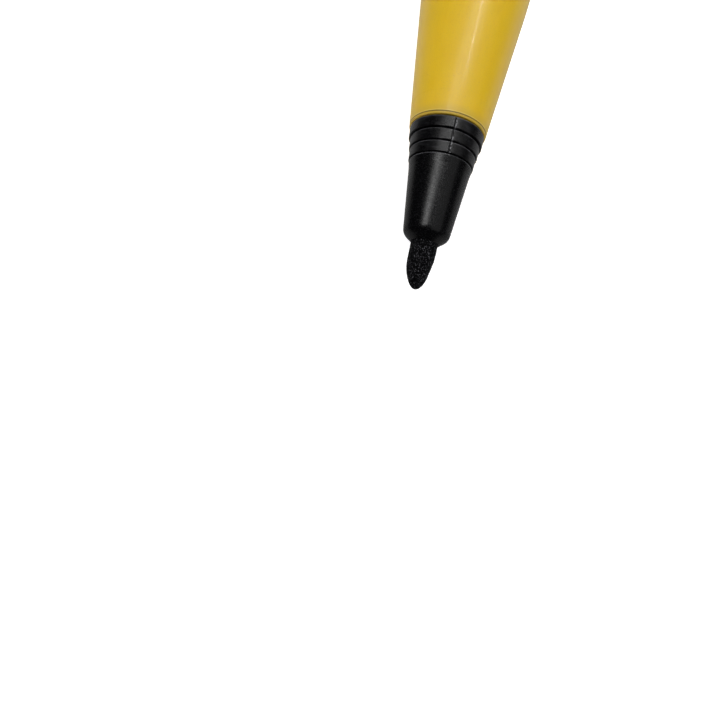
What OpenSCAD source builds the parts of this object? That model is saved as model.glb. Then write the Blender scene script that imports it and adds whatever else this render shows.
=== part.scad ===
// Felt-tip brush pen with a tapered barrel, lying on its side with its cap posted on its tail.
// +X runs along the pen towards the nib and +Z is up from the surface that the pen lies on.
// The origin is on that surface, under the middle of the whole pen. Units are millimetres.
// Every piece is drawn upright, with its axis on Z, the nib end up and the barrel's mouth at z = 0,
// and is then laid down.

/* [Barrel] */
// Radius of the barrel at its mouth, next to the nib section
mouth_r = 4.32; // [4.28:0.01:4.38]
// Radius of the straight part of the barrel
barrel_r = 6.7; // [6.6:0.05:6.9]
// Length of the barrel
barrel_len = 96; // [85:1:110]
// Half angle of the tapered front, in degrees
taper_angle = 6.5; // [6.2:0.1:6.8]
// Radius of the long arc that blends the taper into the straight part
blend_r = 120; // [100:10:150]
// Wall of the barrel
barrel_wall = 1.05; // [0.95:0.05:1.1]
// Number of ribs inside the barrel that centre the reservoir
barrel_ribs = 6; // [4:1:8]

/* [Nib section] */
// Length of the section in front of the barrel
section_len = 12.97; // [12.5:0.01:13.8]
// Spacing of the three stepped rings
ring_pitch = 1.3; // [1.2:0.02:1.36]
// Radius of the section's cone just in front of the rings
cone_r = 3.57; // [3.54:0.01:3.6]
// Radius of the section's cone at its front edge
front_r = 2.59; // [2.5:0.01:2.64]
// Half angle of the section's steep nose, in degrees
nose_angle = 51; // [47:1:54]

/* [Nib] */
// Radius of the felt nib
nib_r = 1.5; // [1.46:0.01:1.52]
// Length of nib that stands out of the section
nib_out = 5.28; // [4.8:0.01:5.8]
// Length of nib behind the barrel's mouth
nib_in = 19; // [17:0.5:21]

/* [Cap] */
// Length of the cap from its lip to the joint with the crown
shell_len = 38; // [37:0.5:42]
// Radius of the cap's closed end
shell_end_r = 6.35; // [6.25:0.05:6.5]
// Thickness of the crown's flange
crown_h = 2; // [1.8:0.1:2.4]
// Length of tail that the cap is pushed over
post_len = 12.3; // [11.5:0.1:12.4]

/* [Clip] */
// Width of the clip
clip_w = 4.2; // [3.6:0.1:4.6]
// Distance from the pen's axis to the clip's outer face
clip_reach = 9.2; // [9:0.1:9.8]
// Thickness of the clip's arm
clip_t = 1.3; // [1.1:0.1:1.4]
// Length of the clip's arm
clip_len = 30; // [26:0.5:32]

/* [Hidden] */
$fn = 96;
yellow = [0.82, 0.67, 0.17];
black = [0.06, 0.06, 0.07];

gap = 0.02;           // clearance of a press fit
slide_gap = 0.03;     // clearance of the cap's grip on the tail
face_gap = 0.06;      // gap between faces that butt
rim_r = 0.3;          // rounding of the barrel's and cap's rims

// Barrel's bore
seat_r = 3.45;        // where the nib section is pressed in
seat_len = 6;
bead_z = -4.9;        // middle of the snap bead and of its groove
bead_w = 0.8;
bead_h = 0.12;
bore_r = barrel_r - barrel_wall;
rib_w = 0.8;
rib_front = -26;
rib_back = -barrel_len + 8;

// Nib section
step_r = [4.2, 3.93, 3.73];  // back radius of each ring
step_draft = 0.08;            // what each ring loses towards its front
groove_w = 0.2;
groove_d = 0.1;
cone_z = 3 * ring_pitch + groove_w / 2;
swell = 0.06;                 // the cone's slightly fuller back edge
swell_len = 0.8;
nose_rim = 0.1;               // width of the flat lip round the nib
front_z = section_len - (front_r - nib_r - nose_rim) / tan(nose_angle);  // where the nose starts
guide_r = 2.25;               // tube round the nib
guide_back = -11;
cavity_r = 2.75;
nib_bore_r = nib_r + 0.05;
channels = 3;                 // air channels along the nib
channel_w = 0.5;
channel_r = 1.85;

// Nib
nib_tip = section_len + nib_out;
nib_round = 4.25;             // length of the rounded point
nib_taper = 3.2;              // length of the pointed tail
nib_tail_r = 0.3;

// Reservoir
core_r = 4.42;
film_t = 0.14;
core_front = -13.5;
core_back = -barrel_len + 6.6;

// Tail plug
plug_r = bore_r - gap;
plug_front = -barrel_len + 6.5;
plug_bore_r = 4.7;
post_r = 5.85;
tail_end = -barrel_len - post_len;
plug_floor = 1.1;
fin_t = 0.9;

// Cap, where depth is measured from the lip
lip_z = -barrel_len - face_gap;
lip_bore_r = 5.95;
grip_ribs = 6;
grip_w = 0.8;
ledge = [12.65, 13.4];        // ring that the inner cap sits on
ledge_r = 5.2;
shell_bore_r = 5.5;
plug_len = 3.2;               // crown's plug

// Inner cap
inner_mouth = ledge[1] + face_gap;
inner_end = shell_len - plug_len - face_gap;
inner_r = 4.95;
inner_bore_r = 4.3;
seal_r = 4.17;
inner_floor = 1;
stand_r = shell_bore_r - 0.05;  // ribs that hold it off the shell
stand_ribs = 4;

// Crown
crown_floor = 1.2;
crown_core_r = 3.6;           // hollow that keeps its walls even
vents = 3;
vent_r = 4.6;
vent_w = 0.9;
vent_arc = 44;

// Clip, drawn with x away from the pen's axis
clip_inner = clip_reach - clip_t;
clip_tip = shell_len - clip_len;     // depth of the clip's free end
bump_depth = clip_tip + 2.6;
bump_r = 1.25;
bump_reach = barrel_r + 0.12;        // how near the bump comes to the axis
clip_corner = norm([clip_reach, clip_w / 2]);

// Lying down: the barrel and the clip's lower edge both touch the surface
clip_angle = asin(barrel_r / clip_corner) - atan(clip_w / 2 / clip_reach);
total_len = nib_tip - lip_z + shell_len + crown_h;
side_reach = clip_corner * cos(clip_angle - atan(clip_w / 2 / clip_reach));
axis_y = -(side_reach - barrel_r) / 2;
mouth_x = total_len / 2 - nib_tip;

// Points along an arc about centre c, from angle a to angle b
function arc(c, r, a, b, n = 6) = [
    for (i = [0:n]) c + r * [cos(a + (b - a) * i / n), sin(a + (b - a) * i / n)]
];

// Radius and height of a point on the long arc, offset inwards by t
blend_back = -(barrel_r - mouth_r) / tan(taper_angle) - blend_r * tan(taper_angle / 2);
function blend(t, n) = arc([barrel_r - blend_r, blend_back], blend_r - t, 0, taper_angle, n);

// Height z on the bore's cone, which runs one wall inside the outer taper
function bore_cone_r(z) = mouth_r - tan(taper_angle) * z - barrel_wall / cos(taper_angle);

// Lays an upright piece down along the pen's axis
module lay() {
    translate([mouth_x, axis_y, barrel_r]) rotate([0, 90, 0]) children();
}

// Turns a piece drawn towards +X so that it points to the side that the clip rests on
module clip_side() {
    rotate([0, 0, 90 - clip_angle]) children();
}

// Places a piece drawn with its depth downwards from z = 0 at the cap's lip
module at_lip() {
    translate([0, 0, lip_z]) children();
}

// A ring of blocks between two radii, used for ribs and slots
module spokes(count, w, r0, r1, z0, z1, start = 0) {
    for (i = [0:count - 1])
        rotate([0, 0, start + 360 * i / count])
            translate([r0, -w / 2, z0]) cube([r1 - r0, w, z1 - z0]);
}

// Yellow barrel: tapered front, long blend, straight body, ribbed bore
module barrel() {
    rim_c = mouth_r + rim_r * tan(taper_angle) - rim_r / cos(taper_angle);
    outer = concat(
        arc([barrel_r - rim_r, -barrel_len + rim_r], rim_r, -90, 0),
        blend(0, 14),
        arc([rim_c, -rim_r], rim_r, taper_angle, 90)
    );
    bead_back = bead_z - bead_w / 2 - gap;
    bead_front = bead_z + bead_w / 2 + gap;
    groove_r = seat_r + bead_h + gap;
    seat = [
        [seat_r, 0], [seat_r, bead_front], [groove_r, bead_front - bead_h],
        [groove_r, bead_back + bead_h], [seat_r, bead_back], [seat_r, -seat_len],
        [bore_cone_r(-seat_len - 0.5), -seat_len - 0.5]
    ];
    bore = blend(barrel_wall, 14);
    bore_back = [for (i = [14:-1:0]) bore[i]];
    color(yellow) lay() union() {
        rotate_extrude() polygon(concat(outer, seat, bore_back, [[bore_r, -barrel_len]]));
        spokes(barrel_ribs, rib_w, core_r + film_t + 0.12, bore_r + 0.15, rib_back, rib_front);
    }
}

// Black section that holds the nib: three stepped rings, a cone and a steep nose
module nib_section() {
    rings = [
        for (i = [0:2])
            let (back = i > 0 ? i * ring_pitch + groove_w / 2 : face_gap)
            let (front = (i + 1) * ring_pitch - groove_w / 2)
            let (next_r = i < 2 ? step_r[i + 1] : cone_r)
            each [
                [step_r[i] - 0.06, back], [step_r[i], back + 0.08],
                [step_r[i] - step_draft, front], [next_r - groove_d, front],
                [next_r - groove_d, front + groove_w]
            ]
    ];
    spigot_r = seat_r - gap;
    bead = [
        [spigot_r, bead_z - bead_w / 2], [spigot_r + bead_h, bead_z - bead_w / 2 + bead_h],
        [spigot_r + bead_h, bead_z + bead_w / 2 - bead_h], [spigot_r, bead_z + bead_w / 2]
    ];
    swell_end = [cone_r - swell - 0.08, cone_z + swell_len];
    cone_angle = atan((swell_end[0] - front_r) / (front_z - swell_end[1]));
    edge_r = 1.2;
    edge_in = edge_r * tan((nose_angle - cone_angle) / 2);
    edge_c = [
        front_r + edge_in * sin(cone_angle) - edge_r * cos(cone_angle),
        front_z - edge_in * cos(cone_angle) - edge_r * sin(cone_angle)
    ];
    color(black) lay() difference() {
        rotate_extrude() polygon(concat(
            [[nib_bore_r, guide_back], [guide_r - 0.2, guide_back], [guide_r, guide_back + 0.3]],
            [[guide_r, cone_z - 1], [cavity_r, cone_z - 1.6], [cavity_r, -seat_len]],
            [[spigot_r - 0.25, -seat_len], [spigot_r, -seat_len + 0.4]], bead,
            [[spigot_r, face_gap]], rings,
            [[cone_r - 0.04, cone_z], [cone_r, cone_z + 0.08], swell_end],
            arc(edge_c, edge_r, cone_angle, nose_angle),
            [[nib_bore_r + 0.15, section_len - 0.05], [nib_bore_r + 0.05, section_len]],
            [[nib_bore_r, section_len - 0.1]]
        ));
        spokes(channels, channel_w, 0, channel_r, guide_back - 1, section_len - 0.8, 30);
    }
}

// Felt nib: a bullet point, a long rod and a pointed tail that feeds from the reservoir
module nib() {
    point_z = nib_tip - nib_round;
    bullet = [for (a = [0:7.5:82.5]) [nib_r * cos(a), point_z + nib_round * sin(a)]];
    color(black) lay() rotate_extrude() polygon(concat(
        [[0, -nib_in], [nib_tail_r, -nib_in], [nib_r, -nib_in + nib_taper]],
        bullet,
        [[0, nib_tip]]
    ));
}

// Fibre core that holds the ink, with the socket that the nib's tail pushes open
module ink_reservoir() {
    socket_r = nib_r + gap;
    color([0.12, 0.12, 0.14]) lay() rotate_extrude() polygon([
        [0, core_back], [core_r - 0.3, core_back], [core_r, core_back + 0.3],
        [core_r, core_front - 0.3], [core_r - 0.3, core_front], [socket_r, core_front],
        [socket_r, -nib_in + nib_taper], [nib_tail_r + gap, -nib_in - gap], [0, -nib_in - gap]
    ]);
}

// Clear film wrapped round the fibre core
module reservoir_film() {
    color([0.85, 0.88, 0.9]) lay() rotate_extrude()
        translate([core_r + gap / 2, core_back + 0.5])
            square([film_t - gap / 2, core_front - core_back - 1]);
}

// Tail plug: pressed into the barrel, with the reduced post that the cap is pushed over
module tail_plug() {
    end_round = 0.6;
    color(black) lay() union() {
        rotate_extrude() polygon(concat(
            [[0, tail_end + plug_floor], [0, tail_end + 0.25], [1.1, tail_end + 0.25], [1.3, tail_end]],
            arc([post_r - end_round, tail_end + end_round], end_round, -90, 0),
            [[post_r, -barrel_len], [plug_r, -barrel_len], [plug_r, plug_front + 0.5]],
            [[plug_r - 0.3, plug_front], [plug_bore_r, plug_front]],
            [[plug_bore_r, tail_end + plug_floor]]
        ));
        for (turn = [0, 90])
            rotate([0, 0, turn])
                translate([-plug_bore_r - 0.3, -fin_t / 2, tail_end + plug_floor - 0.1])
                    cube([2 * plug_bore_r + 0.6, fin_t, core_back - tail_end - plug_floor - 0.1]);
    }
}

// Inner cap: seals on the section's first ring when the pen is capped
module inner_cap() {
    stand = [inner_mouth, inner_end - 1.5];
    color([0.12, 0.12, 0.13]) lay() at_lip() union() {
        rotate_extrude() polygon([
            [0, -inner_end], [inner_r - 0.8, -inner_end], [inner_r, -inner_end + 0.8],
            [inner_r, -inner_mouth], [seal_r + 0.5, -inner_mouth], [seal_r, -inner_mouth - 0.9],
            [seal_r, -inner_mouth - 1.6], [inner_bore_r, -inner_mouth - 2],
            [inner_bore_r - 0.15, -inner_end + inner_floor + 0.6],
            [inner_bore_r - 0.75, -inner_end + inner_floor], [0, -inner_end + inner_floor]
        ]);
        spokes(stand_ribs, 0.9, inner_r - 0.3, stand_r, -stand[1], -stand[0], 45);
    }
}

// Cap shell: open tube with grip ribs inside its lip and a ledge for the inner cap
module cap_shell() {
    color(black) lay() at_lip() union() {
        rotate_extrude() polygon(concat(
            [[lip_bore_r, -ledge[0]], [lip_bore_r, -0.35], [lip_bore_r + 0.2, 0]],
            arc([barrel_r - rim_r, -rim_r], rim_r, 90, 0),
            [[shell_end_r, -shell_len], [shell_bore_r, -shell_len], [shell_bore_r, -ledge[1]]],
            [[ledge_r, -ledge[1]], [ledge_r, -ledge[0]]]
        ));
        spokes(grip_ribs, grip_w, post_r + slide_gap, lip_bore_r + 0.3, -ledge[0] - 0.1, -1.5, 30);
    }
}

// Crown: plug and flange that close the cap, with its vents and the clip's root
module cap_crown() {
    edge = 0.9;
    flange_r = shell_end_r;
    floor_z = -shell_len - crown_h + crown_floor;
    color(black) lay() at_lip() difference() {
        union() {
            rotate_extrude() polygon(concat(
                [[0, floor_z], [crown_core_r - 0.1, floor_z], [crown_core_r, -shell_len + plug_len]],
                [[shell_bore_r - gap - 0.3, -shell_len + plug_len]],
                [[shell_bore_r - gap, -shell_len + plug_len - 0.3], [shell_bore_r - gap, -shell_len]],
                arc([flange_r - 0.1, -shell_len - 0.1], 0.1, 90, 0, 2),
                arc([flange_r - edge, -shell_len - crown_h + edge], edge, 0, -90),
                [[1.6, -shell_len - crown_h], [1.2, -shell_len - crown_h + 0.25]],
                [[0, -shell_len - crown_h + 0.25]]
            ));
            clip_side() translate([shell_bore_r - 1, -clip_w / 2, -shell_len - crown_h + edge])
                cube([clip_reach - shell_bore_r + 1, clip_w, crown_h - edge]);
        }
        for (i = [0:vents - 1])
            rotate([0, 0, 360 * i / vents + 30])
                rotate_extrude(angle = vent_arc)
                    translate([vent_r - vent_w / 2, -shell_len - crown_h - 1])
                        square([vent_w, crown_h + plug_len + 2]);
    }
}

// Clip: springy arm that flexes at its root on the crown
module clip() {
    root = -shell_len + face_gap / 2;
    tip = -clip_tip;
    bump_z = -bump_depth;
    color(black) lay() at_lip() clip_side() rotate([90, 0, 0])
        translate([0, 0, -clip_w / 2]) linear_extrude(clip_w) polygon(concat(
            [[clip_reach, root], [clip_reach, tip - 0.9]],
            arc([clip_reach - 0.6, tip - 0.6], 0.6, 0, 90),
            [[clip_inner + 0.3, tip]],
            arc([bump_reach + bump_r, bump_z], bump_r, 120, 240, 8),
            [[clip_inner, bump_z - 2.4], [clip_inner, root]]
        ));
}

nib();
nib_section();
barrel();
ink_reservoir();
reservoir_film();
tail_plug();
inner_cap();
cap_shell();
cap_crown();
clip();
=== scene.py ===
import math

import bmesh
import bpy
import numpy as np
from mathutils import Matrix, Vector, noise


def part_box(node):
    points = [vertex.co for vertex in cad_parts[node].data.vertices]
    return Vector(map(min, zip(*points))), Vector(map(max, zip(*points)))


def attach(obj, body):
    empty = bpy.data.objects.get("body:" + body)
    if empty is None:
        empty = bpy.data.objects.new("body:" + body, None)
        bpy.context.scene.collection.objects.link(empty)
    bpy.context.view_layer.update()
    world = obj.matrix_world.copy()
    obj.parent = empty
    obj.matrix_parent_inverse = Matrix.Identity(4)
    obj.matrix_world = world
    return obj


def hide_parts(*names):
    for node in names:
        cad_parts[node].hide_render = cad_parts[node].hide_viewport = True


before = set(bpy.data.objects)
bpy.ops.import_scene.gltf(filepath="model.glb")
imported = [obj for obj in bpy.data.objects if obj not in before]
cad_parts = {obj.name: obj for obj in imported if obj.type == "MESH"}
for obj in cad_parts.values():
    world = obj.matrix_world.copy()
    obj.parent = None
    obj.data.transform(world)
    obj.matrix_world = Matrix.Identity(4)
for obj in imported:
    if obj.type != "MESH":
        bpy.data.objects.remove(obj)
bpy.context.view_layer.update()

# Lengths below are in millimetres. u runs along the pen's axis from the barrel's mouth towards
# the nib, r is the distance from the axis, and an angle of 0 is straight up, +90 is +Y.
MM = 0.001
barrel_low, barrel_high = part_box("barrel")
MOUTH_X = barrel_high.x
AXIS_Y = (barrel_low.y + barrel_high.y) / 2
AXIS_Z = (barrel_low.z + barrel_high.z) / 2
BODY_R = (barrel_high.z - barrel_low.z) / 2 / MM
BARREL_END = (barrel_low.x - MOUTH_X) / MM
SEGMENTS = 224
SHARP_ANGLE = 32


def along(x):
    """How far the frame's x lies from the barrel's mouth, in mm towards the nib."""
    return (x - MOUTH_X) / MM


def spot(u, r, degrees):
    """The point at u, r and an angle, in metres in the frame."""
    a = math.radians(degrees)
    return Vector((MOUTH_X + u * MM, AXIS_Y + r * MM * math.sin(a), AXIS_Z + r * MM * math.cos(a)))


# ---------------------------------------------------------------- mesh helpers

def trace(corners, loop=True, arc=5):
    """The outline through (u, r, fillet) corners, with each fillet as a short curve."""
    points, count = [], len(corners)
    for i, (u, r, fillet) in enumerate(corners):
        here = Vector((u, r))
        ends = not loop and i in (0, count - 1)
        if fillet <= 0 or ends:
            points.append(here)
            continue
        back = Vector(corners[i - 1][:2]) - here
        ahead = Vector(corners[(i + 1) % count][:2]) - here
        half = back.angle(ahead) / 2
        reach = min(fillet / math.tan(half), 0.48 * back.length, 0.48 * ahead.length)
        a, b = here + back.normalized() * reach, here + ahead.normalized() * reach
        for k in range(arc + 1):
            t = k / arc
            points.append(a * (1 - t) ** 2 + here * 2 * t * (1 - t) + b * t ** 2)
    return points


def even_angles(count=SEGMENTS, extra=()):
    """Angles round the axis in degrees, with extra ones where fine detail needs them."""
    angles = {round(360 * k / count, 4) for k in range(count)}
    angles |= {round(a % 360, 4) for a in extra}
    return sorted(angles)


def lathe(name, outline, loop=True, angles=None, relief=None):
    """Turns an outline about the axis: a loop makes a tube, an open outline starts and ends on the axis.
    relief(u, r, degrees) gives how far a point stands proud, and may return a pair (dr, dy)."""
    angles = angles or even_angles()
    count = len(angles)
    mesh = bmesh.new()
    rings = []
    for u, r in outline:
        if r < 1e-6:
            rings.append([mesh.verts.new(spot(u, 0, 0))])
            continue
        ring = []
        for degrees in angles:
            proud = relief(u, r, degrees) if relief else 0
            dr, dy = proud if isinstance(proud, tuple) else (proud, 0)
            place = spot(u, r + dr, degrees)
            place.y += dy * MM
            ring.append(mesh.verts.new(place))
        rings.append(ring)
    pairs = list(zip(rings, rings[1:] + rings[:1])) if loop else list(zip(rings, rings[1:]))
    for one, two in pairs:
        for k in range(count):
            j = (k + 1) % count
            if len(one) == 1:
                mesh.faces.new((one[0], two[j], two[k]))
            elif len(two) == 1:
                mesh.faces.new((one[k], one[j], two[0]))
            else:
                mesh.faces.new((one[k], one[j], two[j], two[k]))
    return finish_mesh(name, mesh)


def finish_mesh(name, mesh, sharp=SHARP_ANGLE):
    """Closes off a bmesh as an object with outward normals, smooth but for its sharp edges."""
    bmesh.ops.recalc_face_normals(mesh, faces=mesh.faces)
    data = bpy.data.meshes.new(name)
    mesh.to_mesh(data)
    mesh.free()
    obj = bpy.data.objects.new(name, data)
    bpy.context.scene.collection.objects.link(obj)
    data.shade_smooth()
    data.set_sharp_from_angle(angle=math.radians(sharp))
    return obj


def apply_modifiers(obj):
    """Bakes the modifiers into the mesh."""
    depsgraph = bpy.context.evaluated_depsgraph_get()
    data = bpy.data.meshes.new_from_object(obj.evaluated_get(depsgraph))
    obj.modifiers.clear()
    obj.data = data
    data.shade_smooth()
    data.set_sharp_from_angle(angle=math.radians(SHARP_ANGLE))


def boolean(obj, other, operation):
    """Joins or cuts obj with other, which is used up."""
    step = obj.modifiers.new(operation.lower(), "BOOLEAN")
    step.operation = operation
    step.solver = "EXACT"
    step.object = other
    apply_modifiers(obj)
    bpy.data.objects.remove(other)


def even_normals(obj):
    """Keeps flat faces flat in the shading beside their rounded edges."""
    step = obj.modifiers.new("even", "WEIGHTED_NORMAL")
    step.keep_sharp = True
    step.weight = 100
    apply_modifiers(obj)


def bump(x):
    """A smooth step from 0 to 1."""
    x = min(max(x, 0), 1)
    return x * x * (3 - 2 * x)


# ---------------------------------------------------------------- material helpers

class Nodes:
    """A material's node tree, with short ways to add and join nodes."""

    def __init__(self, name, **settings):
        self.material = bpy.data.materials.new(name)
        self.material.use_nodes = True
        self.tree = self.material.node_tree
        self.shader = self.tree.nodes["Principled BSDF"]
        for socket, value in settings.items():
            self.shader.inputs[socket.replace("_", " ")].default_value = value
        self.coords = self.add("ShaderNodeTexCoord").outputs["Object"]

    def add(self, kind, **inputs):
        node = self.tree.nodes.new(kind)
        for key, value in inputs.items():
            self.put(node.inputs[key.replace("_", " ")], value)
        return node

    def put(self, socket, value):
        if isinstance(value, bpy.types.NodeSocket):
            self.tree.links.new(value, socket)
        else:
            socket.default_value = value

    def math(self, operation, a, b=0.0):
        node = self.tree.nodes.new("ShaderNodeMath")
        node.operation = operation
        self.put(node.inputs[0], a)
        self.put(node.inputs[1], b)
        return node.outputs[0]

    def ramp(self, value, low, high, to_low=0.0, to_high=1.0):
        """A smooth change from to_low to to_high as value goes from low to high."""
        node = self.tree.nodes.new("ShaderNodeMapRange")
        node.interpolation_type = "SMOOTHSTEP"
        for key, given in (("Value", value), ("From Min", low), ("From Max", high),
                           ("To Min", to_low), ("To Max", to_high)):
            self.put(node.inputs[key], given)
        return node.outputs["Result"]

    def mix(self, factor, a, b):
        node = self.tree.nodes.new("ShaderNodeMix")
        node.data_type = "RGBA"
        self.put(node.inputs["Factor"], factor)
        colours = [s for s in node.inputs if s.type == "RGBA"]
        self.put(colours[0], a)
        self.put(colours[1], b)
        return [s for s in node.outputs if s.type == "RGBA"][0]

    def stretched(self, x=1.0, y=1.0, z=1.0):
        """The object's coordinates in mm, stretched."""
        node = self.tree.nodes.new("ShaderNodeMapping")
        node.inputs["Scale"].default_value = (x / MM, y / MM, z / MM)
        self.put(node.inputs["Vector"], self.coords)
        return node.outputs["Vector"]

    def noise(self, vector, scale, detail=2.0, roughness=0.5):
        node = self.add("ShaderNodeTexNoise", Vector=vector, Scale=scale, Detail=detail, Roughness=roughness)
        return node.outputs["Fac"]

    def along(self):
        """u, in mm from the barrel's mouth towards the nib."""
        split = self.add("ShaderNodeSeparateXYZ", Vector=self.coords)
        return self.math("MULTIPLY", self.math("SUBTRACT", split.outputs["X"], MOUTH_X), 1 / MM)

    def around(self):
        """The angle about the pen's axis in degrees, 0 straight up and +90 at +Y."""
        split = self.add("ShaderNodeSeparateXYZ", Vector=self.coords)
        y = self.math("SUBTRACT", split.outputs["Y"], AXIS_Y)
        z = self.math("SUBTRACT", split.outputs["Z"], AXIS_Z)
        return self.math("DEGREES", self.math("ARCTAN2", y, z))

    def band(self, value, low, high, soft):
        """1 where value lies between low and high, with soft edges."""
        return self.math("MULTIPLY", self.ramp(value, low - soft / 2, low + soft / 2),
                         self.ramp(value, high + soft / 2, high - soft / 2))

    def bump(self, *layers):
        """Bump from (height, depth in mm) layers, the first the coarsest."""
        normal = None
        for height, depth in layers:
            node = self.tree.nodes.new("ShaderNodeBump")
            node.inputs["Distance"].default_value = depth * MM
            node.inputs["Strength"].default_value = 1.0
            self.put(node.inputs["Height"], height)
            if normal:
                self.put(node.inputs["Normal"], normal)
            normal = node.outputs["Normal"]
        self.put(self.shader.inputs["Normal"], normal)

    def set(self, socket, value):
        self.put(self.shader.inputs[socket], value)


def rgb(r, g, b):
    return (r, g, b, 1.0)


def yellow_plastic():
    """Moulded yellow polypropylene: slightly translucent, satin with a thin gloss, drawn lengthways."""
    m = Nodes("yellow_plastic", Subsurface_Weight=0.22, Subsurface_Radius=(1.0, 0.55, 0.12),
              Subsurface_Scale=0.0007, Specular_IOR_Level=0.38, IOR=1.49, Coat_Weight=0.25,
              Coat_Roughness=0.075, Coat_IOR=1.45)
    u = m.along()
    mottle = m.noise(m.stretched(0.35, 0.7, 0.7), 1.0, 3.0)
    streaks = m.noise(m.stretched(0.12, 5.0, 5.0), 1.0, 2.0)
    specks = m.noise(m.stretched(), 9.0, 1.0)
    tone = m.math("ADD", m.math("MULTIPLY", mottle, 0.6), m.math("MULTIPLY", streaks, 0.4))
    colour = m.mix(m.ramp(tone, 0.3, 0.7), rgb(0.628, 0.404, 0.0125), rgb(0.652, 0.424, 0.0150))
    colour = m.mix(m.ramp(specks, 0.56, 0.70, 0, 0.5), colour, rgb(0.54, 0.345, 0.030))
    # Painted shade: the thin wall darkens towards olive over the last mm and a half before the mouth, where
    # the black section sits inside it. The lip has a painted darker band, a painted shadow line in the fine
    # groove round it, and a painted highlight line just behind.
    colour = m.mix(m.ramp(u, -1.5, -0.45, 0, 0.35), colour, rgb(0.38, 0.27, 0.060))
    # Painted shade: a darker band over the lip, where its rounding faces the black nose.
    colour = m.mix(m.ramp(u, -0.5, -0.4, 0, 0.55), colour, rgb(0.40, 0.27, 0.030))
    # Painted highlight: a pale line just behind the fine groove.
    colour = m.mix(m.band(u, -0.48, -0.39, 0.03), colour, rgb(0.60, 0.43, 0.08))
    # Painted shadow: a dark line in the fine groove behind the lip.
    colour = m.mix(m.band(u, -0.37, -0.25, 0.03), colour, rgb(0.17, 0.115, 0.022))
    m.set("Base Color", colour)
    rough = m.ramp(m.noise(m.stretched(), 1.6, 3.0), 0.3, 0.7, 0.30, 0.35)
    front = m.ramp(u, -2.66, -2.6, 0, 0.08)
    m.set("Roughness", m.math("ADD", rough, front))
    m.bump((m.noise(m.stretched(0.25, 2.2, 2.2), 1.0, 2.0), 0.002),
           (m.noise(m.stretched(), 6.0, 2.0), 0.0012))
    return m.material


def black_plastic(name, rough=0.26, grain=0.003, tint=(0.0006, 0.0006, 0.0009), scuffs=0.5, rings=False):
    """Moulded black plastic: satin, finely grained, with faint lengthways scuffs. The rings of the nib
    section are rougher, with turned streaks round them under a painted sheen, a painted highlight along each
    ring's back edge and painted glints on the mould line's flash."""
    m = Nodes(name, Specular_IOR_Level=0.5, IOR=1.5)
    grains = m.noise(m.stretched(), 6.5, 2.0, 0.6)
    blotch = m.noise(m.stretched(0.5, 0.8, 0.8), 1.0, 3.0)
    lines = m.noise(m.stretched(0.3, 9.0, 9.0), 1.0, 2.0, 0.6)
    worn = m.math("MULTIPLY", m.ramp(lines, 0.60, 0.72), m.ramp(blotch, 0.45, 0.7, 0, scuffs))
    lighter = tuple(2.6 * c + 0.002 for c in tint)
    colour = m.mix(m.math("MULTIPLY", worn, 0.8), rgb(*tint), rgb(*lighter))
    colour = m.mix(m.ramp(grains, 0.54, 0.70), colour, rgb(0.0050, 0.0050, 0.0062))
    roughness = m.math("ADD", m.ramp(blotch, 0.3, 0.7, rough - 0.02, rough + 0.02),
                       m.math("MULTIPLY", worn, 0.08))
    roughness = m.math("ADD", roughness, m.ramp(grains, 0.35, 0.65, -0.04, 0.06))
    layers = [(blotch, 0.005), (grains, grain), (lines, 0.0006)]
    if rings:
        u = m.along()
        on_rings = m.ramp(u, 3 * RING_PITCH + 0.1, 3 * RING_PITCH, 0, 1)
        turned = m.noise(m.stretched(7.0, 0.7, 0.7), 1.0, 2.0, 0.6)
        # Painted sheen: paler streaks round the rings along the turned marks.
        turned_sheen = m.math("MULTIPLY", m.ramp(turned, 0.53, 0.64), m.ramp(blotch, 0.38, 0.56))
        colour = m.mix(m.math("MULTIPLY", turned_sheen, on_rings), colour, rgb(0.012, 0.012, 0.014))
        # How far u lies in front of the last groove.
        past = m.math("MODULO", m.math("ADD", u, 10 * RING_PITCH), RING_PITCH)
        # Painted highlight: a pale line along the rounded back edge of each ring, just in front of its
        # groove.
        edge = m.math("MULTIPLY", m.band(past, 0.11, 0.19, 0.04), m.ramp(blotch, 0.35, 0.6, 0.3, 1.0))
        edge = m.math("MULTIPLY", edge, m.ramp(u, 3 * RING_PITCH + 0.5, 3 * RING_PITCH + 0.4))
        colour = m.mix(edge, colour, rgb(0.060, 0.060, 0.066))
        # Painted glints: pale nicks along the flash of the mould's parting line, where its ridge catches the
        # light.
        flash_glints = m.ramp(m.noise(m.stretched(3.5, 2.0, 2.0), 1.0, 1.0), 0.48, 0.60)
        seam_glints = m.math("MULTIPLY", m.band(m.around(), SEAM_ANGLE + 0.7, SEAM_ANGLE + 3.0, 0.8), flash_glints)
        colour = m.mix(m.math("MULTIPLY", seam_glints, on_rings), colour, rgb(0.13, 0.13, 0.14))
        roughness = m.math("ADD", roughness, m.math("MULTIPLY", on_rings, 0.06))
        layers.append((m.math("MULTIPLY", turned, on_rings), 0.012))
    m.set("Base Color", colour)
    m.set("Roughness", roughness)
    m.bump(*layers)
    return m.material


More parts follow.
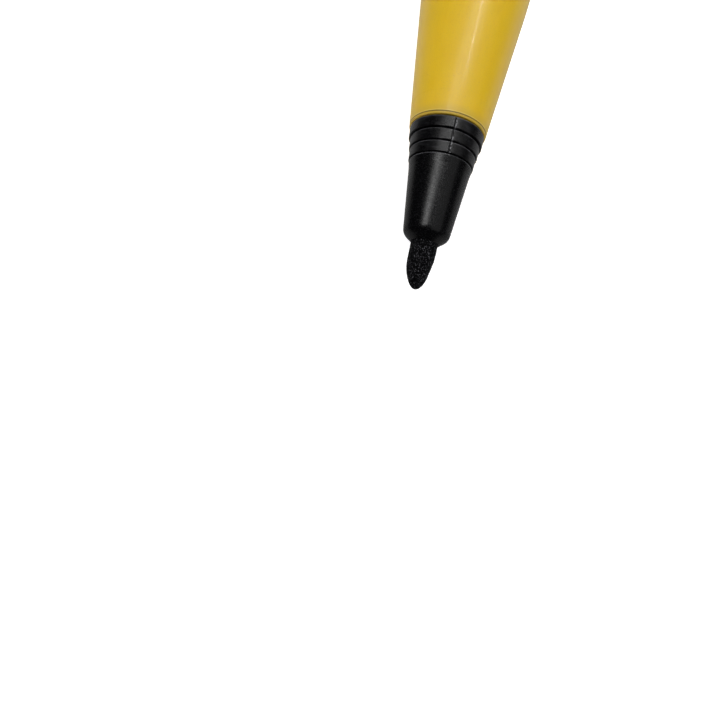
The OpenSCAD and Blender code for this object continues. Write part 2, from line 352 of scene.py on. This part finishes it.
def felt():
    """Ink-black pressed felt: fine fibres with a few lighter ends."""
    m = Nodes("ink_felt", Specular_IOR_Level=0.06, IOR=1.45, Sheen_Weight=0.01, Sheen_Roughness=0.5)
    fibres = m.noise(m.stretched(0.35, 1.0, 1.0), 16.0, 3.0, 0.65)
    ends = m.noise(m.stretched(0.8, 1.0, 1.0), 8.0, 2.0, 0.7)
    patches = m.noise(m.stretched(), 1.3, 2.0)
    light = m.math("MULTIPLY", m.ramp(ends, 0.565, 0.66), m.ramp(patches, 0.3, 0.6, 0.3, 1.0))
    m.set("Base Color", m.mix(light, rgb(0.0004, 0.0004, 0.0007), rgb(0.080, 0.080, 0.088)))
    m.set("Roughness", m.ramp(fibres, 0.3, 0.7, 0.62, 0.9))
    m.bump((fibres, 0.03), (ends, 0.028))
    return m.material


def fibre_core():
    """Bundled polyester fibres that hold the ink."""
    m = Nodes("fibre_core", Roughness=0.85, Sheen_Weight=0.3)
    fibres = m.noise(m.stretched(0.08, 7.0, 7.0), 1.0, 3.0, 0.6)
    m.set("Base Color", m.mix(m.ramp(fibres, 0.35, 0.65), rgb(0.006, 0.006, 0.008), rgb(0.03, 0.03, 0.038)))
    m.bump((fibres, 0.03),)
    return m.material


def clear_film():
    """Thin clear polyester film, faintly wrinkled."""
    m = Nodes("clear_film", IOR=1.57, Alpha=0.35)
    wrinkles = m.noise(m.stretched(0.2, 0.8, 0.8), 1.0, 2.0)
    m.set("Base Color", m.mix(m.ramp(wrinkles, 0.4, 0.6), rgb(0.70, 0.73, 0.76), rgb(0.84, 0.86, 0.88)))
    m.set("Roughness", m.ramp(wrinkles, 0.3, 0.7, 0.08, 0.2))
    m.bump((wrinkles, 0.03),)
    return m.material


# ---------------------------------------------------------------- pieces

SEAT_R, SEAT_LEN = 3.45, 6.0
MOUTH_R, TAPER = 4.32, math.tan(math.radians(6.5))
BLEND_R, WALL = 120.0, 1.05
RIB_HALF, RIB_R, RIBS = 0.4, 4.68, 6
RIB_FRONT, RIB_BACK = -26.0, BARREL_END + 8


def blend_arc(inset, count=16):
    """The long arc between the taper and the straight part, moved inwards, from front to back."""
    centre_u = -(BODY_R - MOUTH_R) / TAPER - BLEND_R * math.tan(math.atan(TAPER) / 2)
    turn = math.atan(TAPER)
    return [(centre_u + (BLEND_R - inset) * math.sin(turn * (1 - k / count)),
             BODY_R - BLEND_R + (BLEND_R - inset) * math.cos(turn * (1 - k / count)), 0)
            for k in range(count + 1)]


def build_barrel():
    """The yellow barrel, with its rounded mouth and the fine groove behind it, a faint mould line,
    and the ribs in its bore."""
    bore_r = BODY_R - WALL
    line_u, line_step = -2.62, 0.012
    lip, lip_round = -0.05, 0.15
    fine_groove = 0.03
    snap_groove = 0.14
    outer = [(lip, MOUTH_R - 0.02, lip_round)]
    for u, depth in ((-0.24, 0), (-0.27, fine_groove), (-0.35, fine_groove), (-0.38, 0)):
        outer.append((u, MOUTH_R - TAPER * u - depth, 0.01))
    outer += [(line_u + 0.03, MOUTH_R - TAPER * line_u - line_step, 0.02)]
    outer += [(line_u - 0.03, MOUTH_R - TAPER * line_u, 0.02)]
    outer += blend_arc(0)
    outer += [(BARREL_END, BODY_R, 0.3), (BARREL_END, bore_r + 0.1, 0), (BARREL_END + 0.1, bore_r, 0)]
    inner = [(RIB_BACK - 0.02, bore_r, 0), (RIB_BACK + 0.02, bore_r, 0), (-60, bore_r, 0)]
    inner += [(RIB_FRONT - 2.2, bore_r, 0)]
    inner += list(reversed(blend_arc(WALL, 8)))
    inner += [(-SEAT_LEN - 0.5, MOUTH_R + TAPER * (SEAT_LEN + 0.5) - WALL, 0.1)]
    inner += [(-SEAT_LEN, SEAT_R, 0), (-5.32, SEAT_R, 0), (-5.2, SEAT_R + snap_groove, 0)]
    inner += [(-4.6, SEAT_R + snap_groove, 0), (-4.48, SEAT_R, 0), (lip, SEAT_R, 0)]
    half = math.degrees(RIB_HALF / bore_r)
    ribs = [360 * k / RIBS for k in range(RIBS)]
    edges = [rib + side * (half + off) for rib in ribs for side in (-1, 1) for off in (0, 0.15)]

    def relief(u, r, degrees):
        # The ribs stand up from the straight bore, between two outline points close together.
        if r > bore_r + 0.01 or not RIB_BACK < u < RIB_FRONT - 2:
            return 0
        away = min(abs((degrees - rib + 180) % 360 - 180) for rib in ribs)
        return RIB_R - r if away <= half + 0.01 else 0

    return lathe("barrel_tube", trace(outer + inner), angles=even_angles(extra=edges), relief=relief)


RING_PITCH = 1.3
RING_BACK_R = (4.2, 3.93, 3.73)
RING_DRAFT = 0.08
CONE_R, CONE_FRONT_R = 3.57, 2.59
NOSE_LEN, NIB_BORE_R, NOSE_ANGLE = 12.97, 1.55, 51
SEAM_ANGLE = 5.0
PRESS_GAP = 0.02
SLEEVE_BACK = -11


def build_section():
    """The black section: three stepped rings with fine grooves, a cone, and a steep nose."""
    groove_depth, half_groove = 0.2, 0.07
    snap_bead, bore_r, seat_bore_r = 0.1, 2.25, 2.75
    edge_r, seat_r = 1.2, SEAT_R - PRESS_GAP
    cone_u = 3 * RING_PITCH
    front_u = NOSE_LEN - (CONE_FRONT_R - NIB_BORE_R - 0.05) / math.tan(math.radians(NOSE_ANGLE))
    corners = [(0.06, seat_r, 0), (0.06, RING_BACK_R[0], 0.07)]
    for i, back_r in enumerate(RING_BACK_R):
        edge = (i + 1) * RING_PITCH
        next_r = RING_BACK_R[i + 1] if i < 2 else CONE_R
        corners += [(edge - half_groove, back_r - RING_DRAFT, 0.045)]
        corners += [(edge - half_groove + 0.01, next_r - groove_depth, 0.02)]
        corners += [(edge + half_groove - 0.02, next_r - groove_depth, 0.02)]
        corners += [(edge + half_groove + 0.01, next_r, 0.075)]
    corners += [(cone_u + 0.95, CONE_R - 0.15, 1.5)]
    corners += [(front_u, CONE_FRONT_R, edge_r), (NOSE_LEN, NIB_BORE_R + 0.05, 0.04)]
    corners += [(NOSE_LEN, NIB_BORE_R, 0.02), (SLEEVE_BACK, NIB_BORE_R, 0)]
    corners += [(SLEEVE_BACK, bore_r - 0.2, 0), (SLEEVE_BACK + 0.3, bore_r, 0), (cone_u - 1, bore_r, 0)]
    corners += [(cone_u - 1.6, seat_bore_r, 0), (-SEAT_LEN, seat_bore_r, 0), (-SEAT_LEN, 3.18, 0)]
    corners += [(-5.6, seat_r, 0), (-5.3, seat_r, 0), (-5.18, SEAT_R + snap_bead, 0)]
    corners += [(-4.62, SEAT_R + snap_bead, 0), (-4.5, seat_r, 0)]
    outline = []
    points = trace(corners, arc=6)
    for a, b in zip(points, points[1:] + points[:1]):
        outline.append(a)
        on_rings = a.y > 3.5 and b.y > 3.5 and 0 < a.x < cone_u + 0.2
        pieces = int((b - a).length / 0.09) if on_rings else 1
        outline += [a.lerp(b, k / pieces) for k in range(1, pieces)]
    fine = [SEAM_ANGLE + side + 0.3 * k for side in (0, 180) for k in range(-8, 9)]

    def relief(u, r, degrees):
        # The mould's parting line over the rings: a hairline step with a ragged flash beside it.
        if r < SEAT_R + 0.05 or not 0.05 < u < cone_u + 0.05:
            return 0
        off = ((degrees - SEAM_ANGLE + 90) % 180 - 90) * r * math.pi / 180
        ragged = 0.5 + 0.9 * noise.noise(Vector((u * 6.0, degrees * 0.3, 3.0)))
        groove = -0.055 * math.exp(-((off + 0.03) / 0.035) ** 2)
        flash = 0.034 * max(ragged, 0) * math.exp(-((off - 0.055) / 0.032) ** 2)
        return groove + flash

    return lathe("nose_section", outline, angles=even_angles(extra=fine), relief=relief)


NIB_R = 1.5
NIB_TIP = along(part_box("nib")[1].x)
NIB_BACK = along(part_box("nib")[0].x)
NIB_ROUND = 4.25


def build_nib():
    """The felt nib: a bullet with a fibrous skin, worn a little on one side of its tip."""
    start = NIB_TIP - NIB_ROUND
    outline = [Vector((NIB_BACK, 0)), Vector((NIB_BACK, 0.3)), Vector((NIB_BACK + 3.2, NIB_R))]
    outline += [Vector((u, NIB_R)) for u in np.arange(-14, NOSE_LEN - 1, 3.0)]
    outline += [Vector((u, NIB_R)) for u in np.arange(NOSE_LEN - 0.5, start, 0.065)]
    steps = 84
    outline += [Vector((start + NIB_ROUND * math.sin(math.pi / 2 * k / steps),
                        NIB_R * math.cos(math.pi / 2 * k / steps))) for k in range(steps)]
    outline.append(Vector((NIB_TIP - 0.012, 0)))

    def relief(u, r, degrees):
        if u < NOSE_LEN - 0.3:
            return 0
        a = math.radians(degrees)
        at = Vector((u * 2.2, r * math.cos(a) * 5.5, r * math.sin(a) * 5.5))
        coarse = noise.noise(at)
        fine = noise.noise(at * 2.7 + Vector((7, 0, 0)))
        fade = min(1, r / 0.35)
        # Use has pushed its middle a little to one side.
        shift = -0.08 * math.exp(-((u - 16) / 1.2) ** 2) - 0.02 * bump((u - start) / 3)
        return (fade * (0.020 * coarse + 0.016 * fine - 0.004), shift)

    return lathe("felt_nib", outline, loop=False, angles=even_angles(176), relief=relief)


POST_R, PLUG_BORE_R, FIN_THICK = 5.85, 4.7, 0.9
CORE_BACK = along(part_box("ink_reservoir")[0].x)
TAIL_END = along(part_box("tail_plug")[0].x)
PLUG_FRONT = along(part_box("tail_plug")[1].x)


def build_tail_plug():
    """The tail plug: the post that the cap is pushed over, with a dimple in its end, and the crossed
    fins inside that press on the reservoir."""
    plug_r = BODY_R - WALL - PRESS_GAP
    plug_floor, dimple, fin_gap = 1.1, 0.25, 0.2
    corners = [(TAIL_END + dimple, 0, 0), (TAIL_END + dimple, 1.1, 0.15), (TAIL_END, 1.35, 0.15)]
    corners += [(TAIL_END, POST_R, 0.6), (BARREL_END, POST_R, 0.03), (BARREL_END, plug_r, 0)]
    corners += [(PLUG_FRONT - 0.5, plug_r, 0), (PLUG_FRONT, plug_r - 0.3, 0), (PLUG_FRONT, PLUG_BORE_R, 0.1)]
    corners += [(TAIL_END + plug_floor, PLUG_BORE_R, 0.3), (TAIL_END + plug_floor, 0, 0)]
    plug = lathe("tail_post", trace(corners, loop=False), loop=False)
    for k in (0, 1):
        # One fin stops a little short of the other, so that their ends don't share a plane.
        front, reach = CORE_BACK - fin_gap - 0.02 * k, PLUG_BORE_R + 0.3
        fin = block("fin", TAIL_END + 1.0, front, -reach, reach, FIN_THICK, angle=90 * k)
        boolean(plug, fin, "UNION")
    return plug


LIP = along(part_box("cap_shell")[1].x)
SHELL_END = along(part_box("cap_shell")[0].x)
CAP_LIP_R, CAP_END_R, CAP_BORE_R, LIP_BORE_R = BODY_R, 6.35, 5.5, 5.95
LEDGE_R, LEDGE = 5.2, (12.65, 13.4)
GRIP_GAP = 0.03


def build_cap_shell():
    """The cap's open tube: a rounded lip, grip ribs inside it, and a ledge for the inner cap."""
    lip_band, groove = 3.2, 0.05
    band_r = CAP_LIP_R - (CAP_LIP_R - CAP_END_R) * lip_band / (LIP - SHELL_END)
    corners = [(LIP, LIP_BORE_R + 0.2, 0.05), (LIP, CAP_LIP_R, 0.3)]
    corners += [(LIP - lip_band, band_r, 0.02), (LIP - lip_band - 0.12, band_r - groove, 0.02)]
    corners += [(LIP - lip_band - 0.24, band_r, 0.02), (SHELL_END, CAP_END_R, 0.08)]
    corners += [(SHELL_END, CAP_BORE_R, 0), (LIP - LEDGE[1], CAP_BORE_R, 0), (LIP - LEDGE[1], LEDGE_R, 0)]
    corners += [(LIP - LEDGE[0], LEDGE_R, 0), (LIP - LEDGE[0], LIP_BORE_R, 0)]
    corners += [(LIP - 1.52, LIP_BORE_R, 0), (LIP - 1.48, LIP_BORE_R, 0), (LIP - 0.35, LIP_BORE_R, 0)]
    grips = [30 + 60 * k for k in range(6)]
    half = math.degrees(0.4 / LIP_BORE_R)
    edges = [g + side * (half + off) for g in grips for side in (-1, 1) for off in (0, 0.3)]

    def relief(u, r, degrees):
        if abs(r - LIP_BORE_R) > 0.01 or not LIP - LEDGE[0] - 0.01 < u < LIP - 1.5:
            return 0
        away = min(abs((degrees - g + 180) % 360 - 180) for g in grips)
        return POST_R + GRIP_GAP - r if away <= half + 0.01 else 0

    return lathe("cap_tube", trace(corners), angles=even_angles(extra=edges), relief=relief)


CLIP_LOW, CLIP_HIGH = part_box("clip")
CROWN_END = along(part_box("cap_crown")[0].x)
CLIP_REACH, CLIP_WIDTH, CLIP_THICK = 9.2, 4.2, 1.3
CLIP_ANGLE = 90 + 32.377
CLIP_ROOT, CLIP_TIP = along(CLIP_LOW.x), along(CLIP_HIGH.x)


def clip_spot(u, out, across, angle=CLIP_ANGLE):
    """A point in the clip's own directions: along the pen, out from the axis, and across."""
    a = math.radians(angle)
    y = out * math.sin(a) - across * math.cos(a)
    z = out * math.cos(a) + across * math.sin(a)
    return Vector((MOUTH_X + u * MM, AXIS_Y + y * MM, AXIS_Z + z * MM))


def block(name, u0, u1, out0, out1, width, edge_r=0, angle=CLIP_ANGLE):
    """A block for joining to another piece, which reaches out at an angle. Its edges may be rounded,
    but for those of its face towards the nib."""
    mesh = bmesh.new()
    corners = [mesh.verts.new(clip_spot(u, out, across, angle))
               for u in (u0, u1) for out in (out0, out1) for across in (-width / 2, width / 2)]
    for face in ((0, 1, 3, 2), (4, 5, 7, 6), (0, 1, 5, 4), (2, 3, 7, 6), (0, 2, 6, 4), (1, 3, 7, 5)):
        mesh.faces.new([corners[k] for k in face])
    bmesh.ops.recalc_face_normals(mesh, faces=mesh.faces)
    if edge_r:
        front = [edge for edge in mesh.edges if edge.verts[0] in corners[4:] and edge.verts[1] in corners[4:]]
        rounded = [edge for edge in mesh.edges if edge not in front]
        bmesh.ops.bevel(mesh, geom=rounded, offset=edge_r * MM, segments=4, profile=0.5, affect="EDGES")
    return finish_mesh(name, mesh)


def arc_slot(name, start, sweep, r, width, u0, u1, steps=16):
    """A curved slot with round ends, for cutting a vent."""
    mesh = bmesh.new()
    half = width / 2
    outline = [(r + half, start + sweep * k / steps) for k in range(steps + 1)]
    end_turn = [k / 6 for k in range(1, 6)]
    beyond = [math.degrees(half * math.sin(math.pi * t) / r) for t in end_turn]
    outline += [(r + half * math.cos(math.pi * t), start + sweep + past) for t, past in zip(end_turn, beyond)]
    outline += [(r - half, start + sweep * (1 - k / steps)) for k in range(steps + 1)]
    outline += [(r - half * math.cos(math.pi * t), start - past) for t, past in zip(end_turn, beyond)]
    near = [mesh.verts.new(spot(u0, radius, degrees)) for radius, degrees in outline]
    far = [mesh.verts.new(spot(u1, radius, degrees)) for radius, degrees in outline]
    mesh.faces.new(near)
    mesh.faces.new(list(reversed(far)))
    for k in range(len(outline)):
        j = (k + 1) % len(outline)
        mesh.faces.new((near[k], near[j], far[j], far[k]))
    return finish_mesh(name, mesh)


def build_crown():
    """The crown: a vented plug with a rounded flange and the tab that the clip grows from."""
    plug_end = SHELL_END + 3.2
    plug_r = CAP_BORE_R - PRESS_GAP
    floor_u = CROWN_END + 1.2
    dimple, flange_round, vents, vent_arc, vent_r, vent_width = 0.25, 0.9, 3, 44, 4.6, 0.9
    corners = [(floor_u, 0, 0), (floor_u, 3.5, 0.2), (plug_end, 3.6, 0.1), (plug_end, plug_r - 0.3, 0)]
    corners += [(plug_end - 0.3, plug_r, 0), (SHELL_END, plug_r, 0), (SHELL_END, CAP_END_R, 0.08)]
    corners += [(CROWN_END, CAP_END_R, flange_round), (CROWN_END, 1.6, 0.1)]
    corners += [(CROWN_END + dimple, 1.2, 0.1), (CROWN_END + dimple, 0, 0)]
    crown = lathe("cap_plug", trace(corners, loop=False, arc=7), loop=False, angles=even_angles(144))
    # The tab's face stays just off the flange's, so that the two don't share a plane.
    tab = block("tab", CROWN_END + flange_round, SHELL_END - 0.01, 4.9, CLIP_REACH, CLIP_WIDTH, edge_r=0.35)
    boolean(crown, tab, "UNION")
    pitch = 360 / vents
    for k in range(vents):
        # The clip's tab lies midway between two vents.
        start = CLIP_ANGLE - pitch / 2 - vent_arc / 2 + pitch * k
        vent = arc_slot("vent", start, vent_arc, vent_r, vent_width, CROWN_END - 1, plug_end + 1)
        boolean(crown, vent, "DIFFERENCE")
    even_normals(crown)
    return crown


def rounding(to_end, radius):
    """How much a rounded end of this radius takes off, at a distance from the end."""
    return radius * (1 - math.sqrt(max(0, 1 - max(0, (radius - to_end) / radius) ** 2)))


def build_clip():
    """The clip: a slim arm, a little crowned across, with a rounded tip and a bump that grips."""
    inner = CLIP_REACH - CLIP_THICK
    bump_u, bump_reach, bump_half = CLIP_TIP - 2.6, 6.82, 1.05
    tip_round, side_round, tip_lift, crowning, squareness = 0.6, 1.0, 0.3, 0.12, 0.28
    stations, count = [], 60
    for k in range(count + 1):
        u = CLIP_ROOT + (CLIP_TIP - CLIP_ROOT) * k / count
        to_tip = CLIP_TIP - u
        outer = CLIP_REACH - rounding(to_tip, tip_round)
        swell = math.exp(-((u - bump_u) / bump_half) ** 2) * (inner - bump_reach)
        under = inner - swell + tip_lift * (1 - min(1, to_tip / 0.5))
        width = CLIP_WIDTH - rounding(to_tip, side_round)
        stations.append((u, under, outer, width))
    mesh = bmesh.new()
    rows = []
    section = 28
    for u, under, outer, width in stations:
        row = []
        for j in range(section):
            t = 2 * math.pi * j / section
            # A rounded rectangle: a superellipse with a gently crowned outer face.
            c, s = math.cos(t), math.sin(t)
            x = math.copysign(abs(c) ** squareness, c) * width / 2
            y = math.copysign(abs(s) ** squareness, s)
            crown = crowning * (2 * x / CLIP_WIDTH) ** 2 if y > 0 else 0
            out = (under + outer) / 2 + y * (outer - under) / 2 - crown
            row.append(mesh.verts.new(clip_spot(u, out, x)))
        rows.append(row)
    for one, two in zip(rows, rows[1:]):
        for j in range(section):
            i = (j + 1) % section
            mesh.faces.new((one[j], one[i], two[i], two[j]))
    mesh.faces.new(rows[0])
    mesh.faces.new(list(reversed(rows[-1])))
    return finish_mesh("clip_arm", mesh, 40)


INNER_MOUTH = along(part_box("inner_cap")[1].x)
INNER_END = along(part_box("inner_cap")[0].x)


def build_inner_cap():
    """The inner cap: a thin cup with a lead-in, a sealing land and ribs that hold it in the cap."""
    stand, cup_r, seal_r = 5.45, 4.95, 4.17
    floor_u = INNER_END + 1.0
    corners = [(INNER_END, 0, 0), (INNER_END, cup_r, 0.8), (INNER_END + 1.48, cup_r, 0)]
    corners += [(INNER_END + 1.52, cup_r, 0), (INNER_MOUTH - 0.03, cup_r, 0), (INNER_MOUTH, cup_r, 0)]
    corners += [(INNER_MOUTH, seal_r + 0.45, 0.1), (INNER_MOUTH - 0.9, seal_r, 0.3)]
    corners += [(INNER_MOUTH - 1.6, seal_r, 0.2), (INNER_MOUTH - 2, 4.3, 0.3)]
    corners += [(floor_u, 4.15, 0.6), (floor_u, 0, 0)]
    stands = [k * 90 + 45 for k in range(4)]
    half = math.degrees(0.45 / cup_r)
    edges = [g + side * (half + off) for g in stands for side in (-1, 1) for off in (0, 0.3)]

    def relief(u, r, degrees):
        if abs(r - cup_r) > 0.01 or not INNER_END + 1.5 < u < INNER_MOUTH - 0.01:
            return 0
        away = min(abs((degrees - g + 180) % 360 - 180) for g in stands)
        return stand - r if away <= half + 0.01 else 0

    return lathe("seal_cup", trace(corners, loop=False), loop=False,
                 angles=even_angles(160, extra=edges), relief=relief)


def fit(piece, node, body, material):
    """Gives a piece its material and body, in place of its CAD node."""
    piece.data.materials.clear()
    piece.data.materials.append(material)
    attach(piece, body)
    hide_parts(node)


def paint(node, material):
    """Gives a CAD node that stays a better material."""
    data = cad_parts[node].data
    data.materials.clear()
    data.materials.append(material)


section_black = black_plastic("section_plastic", grain=0.005, rings=True)
tail_black = black_plastic("tail_plastic", rough=0.24, grain=0.002, scuffs=0.9)
cap_black = black_plastic("cap_plastic", rough=0.22, grain=0.002, scuffs=0.8)
crown_black = black_plastic("crown_plastic", rough=0.25, grain=0.003)
clip_black = black_plastic("clip_plastic", rough=0.22, grain=0.002, scuffs=1.0)
inner_dark = black_plastic("inner_cap_plastic", rough=0.42, grain=0.004, tint=(0.010, 0.010, 0.011))

fit(build_barrel(), "barrel", "pen", yellow_plastic())
fit(build_section(), "nib_section", "pen", section_black)
fit(build_nib(), "nib", "pen", felt())
fit(build_tail_plug(), "tail_plug", "pen", tail_black)
fit(build_inner_cap(), "inner_cap", "inner_cap", inner_dark)
fit(build_cap_shell(), "cap_shell", "cap", cap_black)
fit(build_crown(), "cap_crown", "cap", crown_black)
fit(build_clip(), "clip", "clip", clip_black)
paint("ink_reservoir", fibre_core())
paint("reservoir_film", clear_film())


# ---------------------------------------------------------------- stage

def paper():
    """White paper, bright enough that the pen's shadow stays faint, and far off as pale as the
    backdrop."""
    m = Nodes("paper", Roughness=0.95, Specular_IOR_Level=0.1)
    grain = m.noise(m.stretched(), 2.5, 3.0)
    away = m.add("ShaderNodeVectorMath", Vector=m.coords)
    away.operation = "LENGTH"
    m.set("Emission Strength", m.ramp(away.outputs["Value"], 0.3, 1.6, 0.62, 0.93))
    m.set("Base Color", m.mix(m.ramp(grain, 0.3, 0.7), rgb(0.86, 0.86, 0.86), rgb(0.90, 0.90, 0.90)))
    m.set("Emission Color", m.mix(m.ramp(grain, 0.3, 0.7), rgb(0.99, 0.99, 0.99), rgb(1.0, 1.0, 1.0)))
    return m.material


def build_floor(radius=3.0):
    mesh = bmesh.new()
    bmesh.ops.create_circle(mesh, cap_ends=True, segments=96, radius=radius)
    floor = finish_mesh("floor", mesh)
    floor.data.materials.append(paper())
    floor.visible_glossy = False


def build_backdrop(radius=3.0):
    """A pale dome round the floor that only the camera sees."""
    mesh = bmesh.new()
    bmesh.ops.create_uvsphere(mesh, u_segments=64, v_segments=32, radius=radius)
    dome = finish_mesh("backdrop", mesh)
    material = bpy.data.materials.new("backdrop_white")
    material.use_nodes = True
    tree = material.node_tree
    tree.nodes.remove(tree.nodes["Principled BSDF"])
    glow = tree.nodes.new("ShaderNodeEmission")
    glow.inputs["Color"].default_value = rgb(0.96, 0.96, 0.96)
    tree.links.new(glow.outputs[0], tree.nodes["Material Output"].inputs["Surface"])
    dome.data.materials.append(material)
    for ray in ("diffuse", "glossy", "transmission", "shadow", "volume_scatter"):
        setattr(dome, "visible_" + ray, False)


def area_light(name, start, end, width, radiance, mirrored=True):
    """A strip light from start to end, turned to face the nose. Radiance is in W per m2 and sr."""
    target = spot(0, 0, 0)
    start, end = Vector(start), Vector(end)
    middle, run = (start + end) / 2, end - start
    data = bpy.data.lights.new(name, "AREA")
    data.shape = "RECTANGLE"
    data.size, data.size_y = run.length, width
    data.energy = radiance * math.pi * run.length * width
    lamp = bpy.data.objects.new(name, data)
    facing = (middle - target).normalized()
    x = run.normalized()
    z = (facing - x * facing.dot(x)).normalized()
    y = z.cross(x)
    lamp.matrix_world = Matrix((x, y, z)).transposed().to_4x4()
    lamp.location = middle
    lamp.visible_glossy = mirrored
    bpy.context.scene.collection.objects.link(lamp)


def build_world(near=0.20, far=0.44, high=0.022):
    """A dim room above, and a paler glow from below for the glossy sides to mirror, which grows
    from near the nib to far behind it."""
    world = bpy.data.worlds.new("room")
    bpy.context.scene.world = world
    world.use_nodes = True
    tree = world.node_tree
    back = tree.nodes["Background"]
    coords = tree.nodes.new("ShaderNodeTexCoord")
    tilt = tree.nodes.new("ShaderNodeVectorMath")
    tilt.operation = "DOT_PRODUCT"
    tilt.inputs[1].default_value = (0, -0.12, 1)
    split = tree.nodes.new("ShaderNodeSeparateXYZ")
    glow = tree.nodes.new("ShaderNodeMapRange")
    reach = tree.nodes.new("ShaderNodeMapRange")
    for node, low, high_end, from_value, to_value in ((glow, -0.45, -0.17, far, near),
                                                      (reach, -0.28, -0.17, near, high)):
        node.inputs["From Min"].default_value = low
        node.inputs["From Max"].default_value = high_end
        node.inputs["To Min"].default_value = from_value
        node.inputs["To Max"].default_value = to_value
    tree.links.new(coords.outputs["Generated"], tilt.inputs[0])
    tree.links.new(coords.outputs["Generated"], split.inputs[0])
    tree.links.new(split.outputs["X"], glow.inputs["Value"])
    tree.links.new(glow.outputs["Result"], reach.inputs["To Min"])
    tree.links.new(tilt.outputs["Value"], reach.inputs["Value"])
    tree.links.new(reach.outputs["Result"], back.inputs["Strength"])
    back.inputs["Color"].default_value = rgb(1, 1, 1)


def build_camera():
    """Nearly overhead, as close as a phone gets, with the pen's nose in the picture."""
    data = bpy.data.cameras.new("camera")
    data.lens, data.sensor_width = 30.0, 36.0
    data.clip_start, data.clip_end = 0.002, 20
    camera = bpy.data.objects.new("camera", data)
    back = Vector((0.1117, 0, 0.99375)).normalized()
    up = Vector((-0.9718, -0.2091, 0.1092))
    right = up.cross(back).normalized()
    up = back.cross(right)
    camera.matrix_world = Matrix((right, up, back)).transposed().to_4x4()
    camera.location = spot(0, 0, 0) + Vector((34.293, -4.321, 64.209)) * MM
    bpy.context.scene.collection.objects.link(camera)
    bpy.context.scene.camera = camera


build_floor()
build_backdrop()
build_world()
build_camera()
KEY_START, KEY_END = Vector((0.105, -0.271, 0.482)), Vector((-0.28, 0.205, 0.445))
area_light("key_wide", KEY_START, KEY_END, 0.19, 0.9)
# The brighter core hangs a little lower, so that no two lights share a plane.
KEY_DROP = Vector((0, 0, -0.012))
key_start, key_bend, key_end = [KEY_START.lerp(KEY_END, t) + KEY_DROP for t in (0, 0.42, 1)]
area_light("key_front", key_start, key_bend, 0.10, 3.4)
area_light("key_back", key_bend, key_end, 0.11, 1.5)
area_light("thin_strip", (-0.104, 0.080, 0.43), (-0.40, 0.130, 0.30), 0.015, 20.0)
area_light("side_panel", (-0.45, 0.36, 0.50), (0.45, 0.36, 0.50), 0.56, 0.27)
area_light("soft_fill", (-0.8, -0.08, 0.7), (0.8, -0.08, 0.7), 1.6, 1.10, mirrored=False)
bpy.context.scene.view_settings.view_transform = "Standard"
